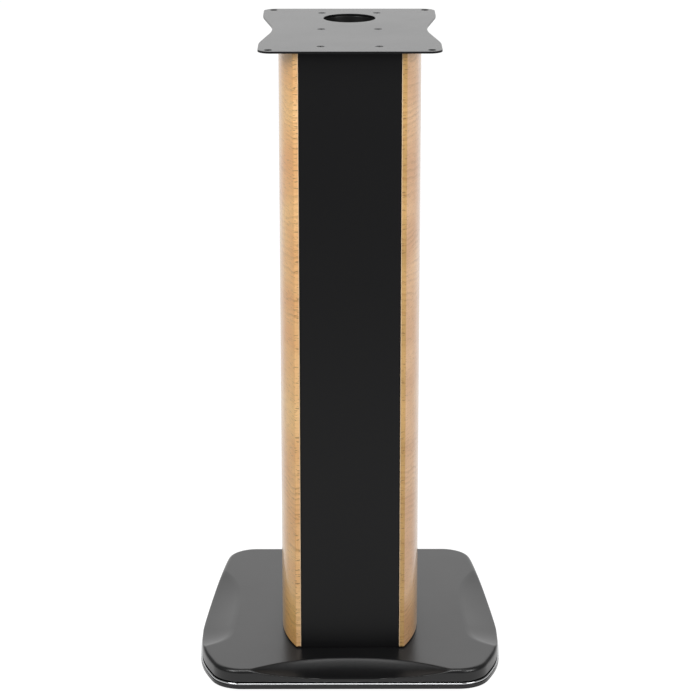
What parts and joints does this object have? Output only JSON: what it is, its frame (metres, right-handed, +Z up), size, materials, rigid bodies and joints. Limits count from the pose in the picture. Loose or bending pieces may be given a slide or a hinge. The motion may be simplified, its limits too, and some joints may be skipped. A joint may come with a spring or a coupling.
{
  "type": "speaker stand",
  "caption": "Floor stand for a bookshelf loudspeaker: waisted steel top plate, bowed wood-sided column with a cable way, and a low scooped base with bright trim on levelling feet.",
  "frame": {"origin": "on the floor, under the centre of the base", "axes": "+Z up, -Y towards the front, +X to the right seen from the front"},
  "size_m": [0.2938, 0.329, 0.61],
  "materials": {
    "plate_coat": "satin black coat on sheet steel",
    "bright_trim": "polished chrome",
    "slab_lacquer": "satin black lacquer on fibreboard",
    "board_lacquer": "satin black lacquer on fibreboard",
    "side_veneer": "satin clear lacquer on light staved wood",
    "raw_board": "raw fibreboard",
    "black_moulding": "fine matt moulding",
    "black_screw": "black oxide steel",
    "brass_insert": "plain brass",
    "zinc_steel": "zinc plate",
    "foot_rubber": "matt rubber"
  },
  "bodies": {
    "stand": {"base_plate": "plate_coat", "trim_ring": "bright_trim", "base_slab": "slab_lacquer", "bottom_block": "raw_board", "top_block": "raw_board", "front_board": "board_lacquer", "rear_board": "board_lacquer", "outlet_bush": "black_moulding", "top_plate": "plate_coat", "side_panel_right": "side_veneer", "side_panel_left": "side_veneer", "batten_rear_right": "raw_board", "batten_rear_left": "raw_board", "batten_front_left": "raw_board", "batten_front_right": "raw_board", "cable_sleeve": "black_moulding", "plate_screw_1": "black_screw", "plate_screw_2": "black_screw", "plate_screw_3": "black_screw", "plate_screw_4": "black_screw", "plate_screw_5": "black_screw", "plate_screw_6": "black_screw", "slab_screw_1": "zinc_steel", "slab_screw_2": "zinc_steel", "slab_screw_3": "zinc_steel", "slab_screw_4": "zinc_steel", "slab_screw_5": "zinc_steel", "slab_screw_6": "zinc_steel", "slab_screw_7": "zinc_steel", "slab_screw_8": "zinc_steel", "column_bolt_1": "zinc_steel", "column_insert_1": "brass_insert", "column_bolt_2": "zinc_steel", "column_insert_2": "brass_insert", "column_bolt_3": "zinc_steel", "column_insert_3": "brass_insert", "column_bolt_4": "zinc_steel", "column_insert_4": "brass_insert", "foot_nut_1": "zinc_steel", "foot_nut_2": "zinc_steel", "foot_nut_3": "zinc_steel", "foot_nut_4": "zinc_steel"},
    "foot_front_left": {"foot_stud_1": "zinc_steel", "foot_pad_1": "foot_rubber"},
    "foot_front_right": {"foot_stud_2": "zinc_steel", "foot_pad_2": "foot_rubber"},
    "foot_rear_left": {"foot_stud_3": "zinc_steel", "foot_pad_3": "foot_rubber"},
    "foot_rear_right": {"foot_stud_4": "zinc_steel", "foot_pad_4": "foot_rubber"}
  },
  "joints": [
    {"name": "foot_front_left_height", "type": "slide", "parent": "stand", "child": "foot_front_left", "axis": [0, 0, -1], "range_m": [0, 0.006]},
    {"name": "foot_front_right_height", "type": "slide", "parent": "stand", "child": "foot_front_right", "axis": [0, 0, -1], "range_m": [0, 0.006]},
    {"name": "foot_rear_left_height", "type": "slide", "parent": "stand", "child": "foot_rear_left", "axis": [0, 0, -1], "range_m": [0, 0.006]},
    {"name": "foot_rear_right_height", "type": "slide", "parent": "stand", "child": "foot_rear_right", "axis": [0, 0, -1], "range_m": [0, 0.006]}
  ]
}
